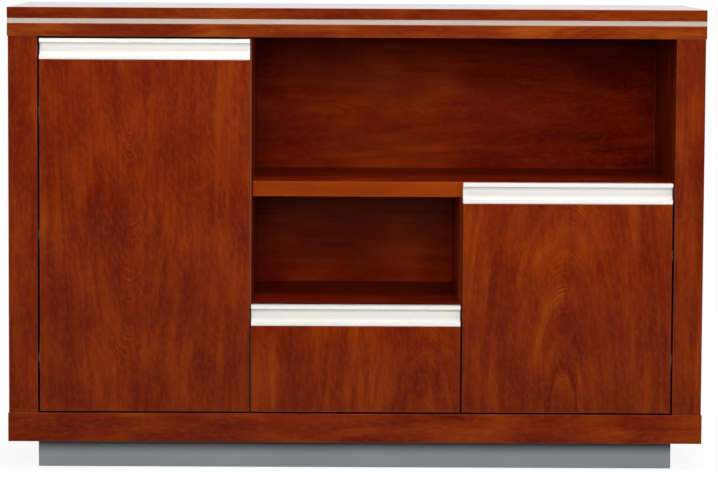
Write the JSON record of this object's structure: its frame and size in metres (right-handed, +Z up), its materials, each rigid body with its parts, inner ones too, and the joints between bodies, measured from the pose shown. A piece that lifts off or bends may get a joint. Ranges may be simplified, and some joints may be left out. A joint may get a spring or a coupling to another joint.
{
  "type": "office credenza",
  "caption": "Low office credenza with a tall door, a low door, a drawer and open compartments, cove grip profiles and a recessed plinth.",
  "frame": {"origin": "on the floor, under the middle of the cabinet's overall box", "axes": "+Z up, the fronts face -Y, +X to the right for someone who faces them"},
  "size_m": [1.2, 0.4, 0.8],
  "materials": {
    "veneer": "red-brown wood veneer under a satin lacquer",
    "core_board": "raw particle board",
    "strip_metal": "satin, pale champagne",
    "grip_aluminium": "satin anodised",
    "plinth_laminate": "matt grey laminate on board",
    "raw_wood": "raw beech",
    "drawer_laminate": "fine-textured light grey laminate on board",
    "nickel_steel": "nickel plated",
    "bumper_rubber": "soft, translucent grey"
  },
  "bodies": {
    "carcass": {"top_edge_strip": "strip_metal", "plinth_front_rail": "plinth_laminate", "plinth_back_rail": "plinth_laminate", "plinth_left_rail": "plinth_laminate", "plinth_right_rail": "plinth_laminate", "plinth_centre_rail": "plinth_laminate", "plinth_corner_blocks": "raw_wood", "left_cabinet_lower_shelf": "veneer", "left_cabinet_upper_shelf": "veneer", "right_cabinet_shelf": "veneer", "left_hinge_arms": "nickel_steel", "right_hinge_arms": "nickel_steel", "left_slide_outer": "nickel_steel", "right_slide_outer": "nickel_steel", "top_upper_board": "veneer", "top_core_board": "core_board", "top_lower_board": "veneer", "bottom_board": "veneer", "left_side_panel": "veneer", "right_side_panel": "veneer", "left_divider": "veneer", "right_divider": "veneer", "centre_shelf": "veneer", "drawer_cell_board": "veneer", "back_panel": "veneer", "carcass_dowels": "raw_wood", "cam_housings": "nickel_steel", "cam_bolts": "nickel_steel", "board_screws": "nickel_steel", "back_panel_screws": "nickel_steel", "plinth_screws": "nickel_steel", "shelf_pins": "nickel_steel", "hinge_plate_screws": "nickel_steel", "hinge_plates": "nickel_steel", "door_bumpers": "bumper_rubber", "slide_screws": "nickel_steel"},
    "left_door": {"left_door_panel": "veneer", "left_door_grip": "grip_aluminium", "left_hinge_housings": "nickel_steel", "left_hinge_pins": "nickel_steel", "left_hinge_housing_screws": "nickel_steel"},
    "right_door": {"right_door_panel": "veneer", "right_door_grip": "grip_aluminium", "right_hinge_housings": "nickel_steel", "right_hinge_pins": "nickel_steel", "right_hinge_housing_screws": "nickel_steel"},
    "drawer": {"drawer_front_panel": "veneer", "drawer_grip": "grip_aluminium", "drawer_box_front": "drawer_laminate", "drawer_box_back": "drawer_laminate", "drawer_box_left_side": "drawer_laminate", "drawer_box_right_side": "drawer_laminate", "drawer_box_bottom": "drawer_laminate", "drawer_box_dowels": "raw_wood", "drawer_screws": "nickel_steel", "left_slide_inner": "nickel_steel", "right_slide_inner": "nickel_steel"},
    "left_slide_middle": {"left_slide_middle": "nickel_steel"},
    "right_slide_middle": {"right_slide_middle": "nickel_steel"}
  },
  "joints": [
    {"name": "left_door_hinge", "type": "hinge", "parent": "carcass", "child": "left_door", "pos_m": [-0.538, -0.1912, 0.4], "axis": [0, 0, -1], "range_deg": [0, 100]},
    {"name": "right_door_hinge", "type": "hinge", "parent": "carcass", "child": "right_door", "pos_m": [0.538, -0.1912, 0.3], "axis": [0, 0, 1], "range_deg": [0, 100]},
    {"name": "drawer_slide", "type": "slide", "parent": "carcass", "child": "drawer", "axis": [0, -1, 0], "range_m": [0, 0.29]},
    {"name": "left_slide_middle_travel", "type": "slide", "parent": "carcass", "child": "left_slide_middle", "axis": [0, -1, 0], "range_m": [0, 0.145]},
    {"name": "right_slide_middle_travel", "type": "slide", "parent": "carcass", "child": "right_slide_middle", "axis": [0, -1, 0], "range_m": [0, 0.145]}
  ],
  "couplings": [
    {"joint": "left_slide_middle_travel", "follows": "drawer_slide", "ratio": 0.5},
    {"joint": "right_slide_middle_travel", "follows": "drawer_slide", "ratio": 0.5}
  ]
}
